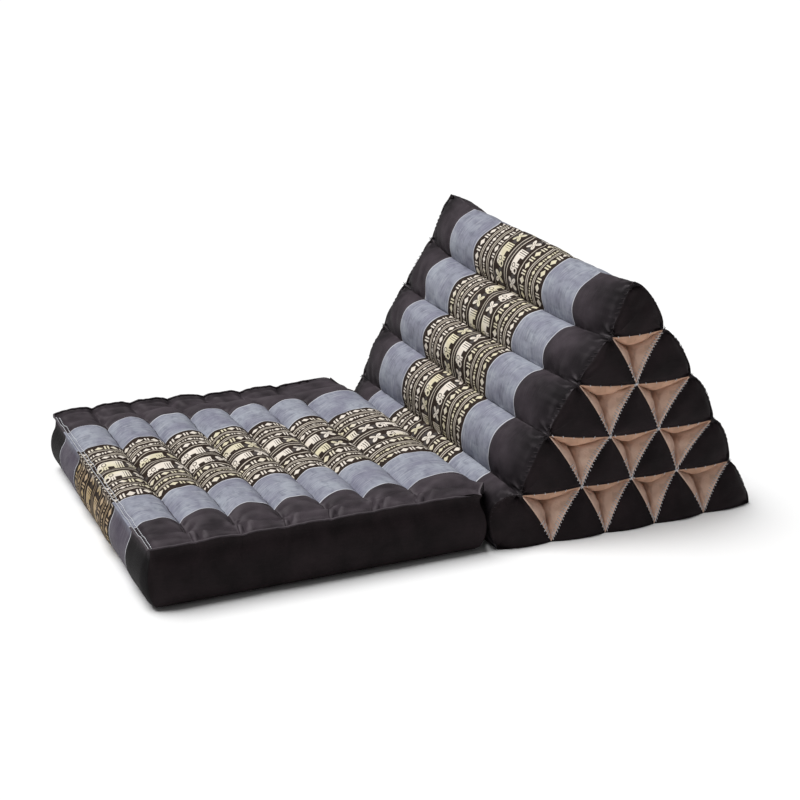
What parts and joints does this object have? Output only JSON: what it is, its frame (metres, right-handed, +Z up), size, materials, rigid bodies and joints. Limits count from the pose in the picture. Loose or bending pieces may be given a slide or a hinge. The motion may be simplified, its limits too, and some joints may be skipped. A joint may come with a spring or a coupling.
{
  "type": "thai triangle cushion with a fold-out mat",
  "caption": "Floor cushion with a stepped triangular bolster of filled fabric tubes and a quilted fold-out mat in front, for sitting or lying and leaning back.",
  "frame": {"origin": "middle of the footprint, on the floor", "axes": "+X from the mat's free end to the bolster's back, +Y towards the far side, +Z up"},
  "size_m": [0.787, 0.525, 0.3247],
  "materials": {
    "patchwork_cotton": "woven cotton in strips of brown-black, muted blue-grey and dark brown brocade with cream figures",
    "black_cotton": "brown-black woven cotton with a soft sheen",
    "pocket_cotton": "creased tan cotton, whip-stitched at its edges"
  },
  "bodies": {
    "root": {"mat": "patchwork_cotton", "roll_1_1": "patchwork_cotton", "roll_2_1": "patchwork_cotton", "roll_2_2": "patchwork_cotton", "pocket_near_2_1": "pocket_cotton", "pocket_far_2_1": "pocket_cotton", "roll_3_1": "patchwork_cotton", "roll_3_2": "black_cotton", "roll_3_3": "patchwork_cotton", "pocket_near_3_1": "pocket_cotton", "pocket_far_3_1": "pocket_cotton", "pocket_near_3_2": "pocket_cotton", "pocket_far_3_2": "pocket_cotton", "roll_4_1": "patchwork_cotton", "roll_4_2": "black_cotton", "roll_4_3": "black_cotton", "roll_4_4": "patchwork_cotton", "pocket_near_4_1": "pocket_cotton", "pocket_far_4_1": "pocket_cotton", "pocket_near_4_2": "pocket_cotton", "pocket_far_4_2": "pocket_cotton", "pocket_near_4_3": "pocket_cotton", "pocket_far_4_3": "pocket_cotton", "roll_5_1": "patchwork_cotton", "roll_5_2": "black_cotton", "roll_5_3": "black_cotton", "roll_5_4": "black_cotton", "roll_5_5": "patchwork_cotton", "pocket_near_5_1": "pocket_cotton", "pocket_far_5_1": "pocket_cotton", "pocket_near_5_2": "pocket_cotton", "pocket_far_5_2": "pocket_cotton", "pocket_near_5_3": "pocket_cotton", "pocket_far_5_3": "pocket_cotton", "pocket_near_5_4": "pocket_cotton", "pocket_far_5_4": "pocket_cotton"}
  },
  "joints": []
}
